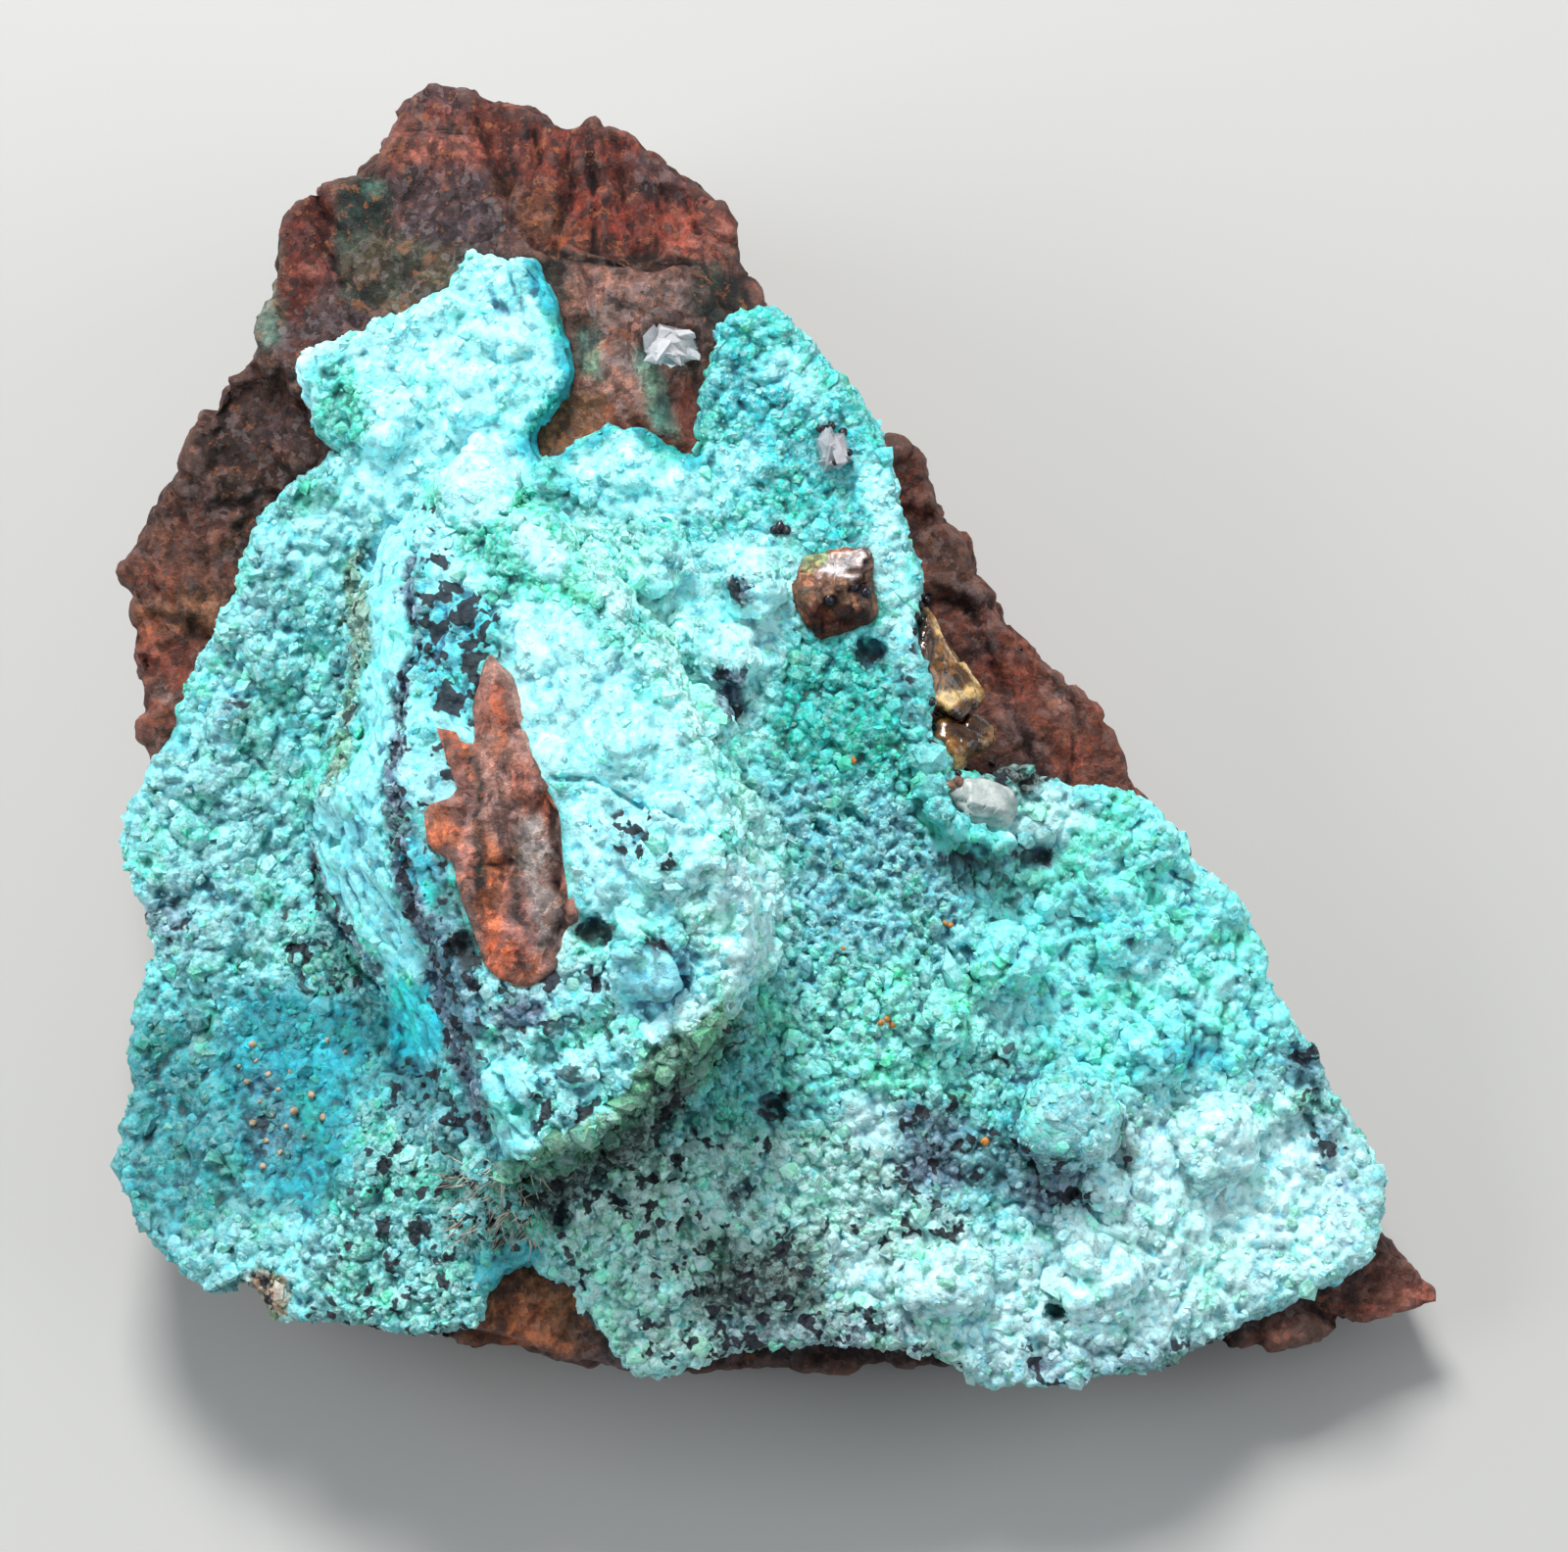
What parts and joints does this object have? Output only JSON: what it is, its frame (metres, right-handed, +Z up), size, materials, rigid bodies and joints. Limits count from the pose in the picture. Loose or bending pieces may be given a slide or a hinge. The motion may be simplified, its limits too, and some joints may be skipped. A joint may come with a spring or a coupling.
{
  "type": "hemimorphite specimen",
  "caption": "Blue-green lumpy mineral crust on red-brown iron-stained rock, with a broken fin of crust standing out of its face and grains and clear crystals held in it.",
  "frame": {"origin": "under the middle of the specimen's box, on the flat underside it rests on", "axes": "+Z up, +X to the right of the crusted face, +Y towards the bare rock peak; the crusted face looks up and leans towards -Y"},
  "size_m": [0.0696, 0.0682, 0.0347],
  "materials": {
    "rock": "dull, rough, iron-stained, with streaks and broken facets",
    "crust": "waxy to powdery, finely lumpy, blue-green to icy white",
    "chip": "dull red-brown with a pale band",
    "amber": "glossy, honey to dark brown, partly see-through",
    "milky": "milky, slightly glossy",
    "crystal": "clear and colourless"
  },
  "bodies": {
    "root": {"matrix": "rock", "hemimorphite_crust": "crust", "rock_chip": "chip", "amber_grain_upper": "amber", "amber_grain_lower": "amber", "milky_grain": "milky", "clear_crystal_top": "crystal", "clear_crystal_right": "crystal"}
  },
  "joints": []
}
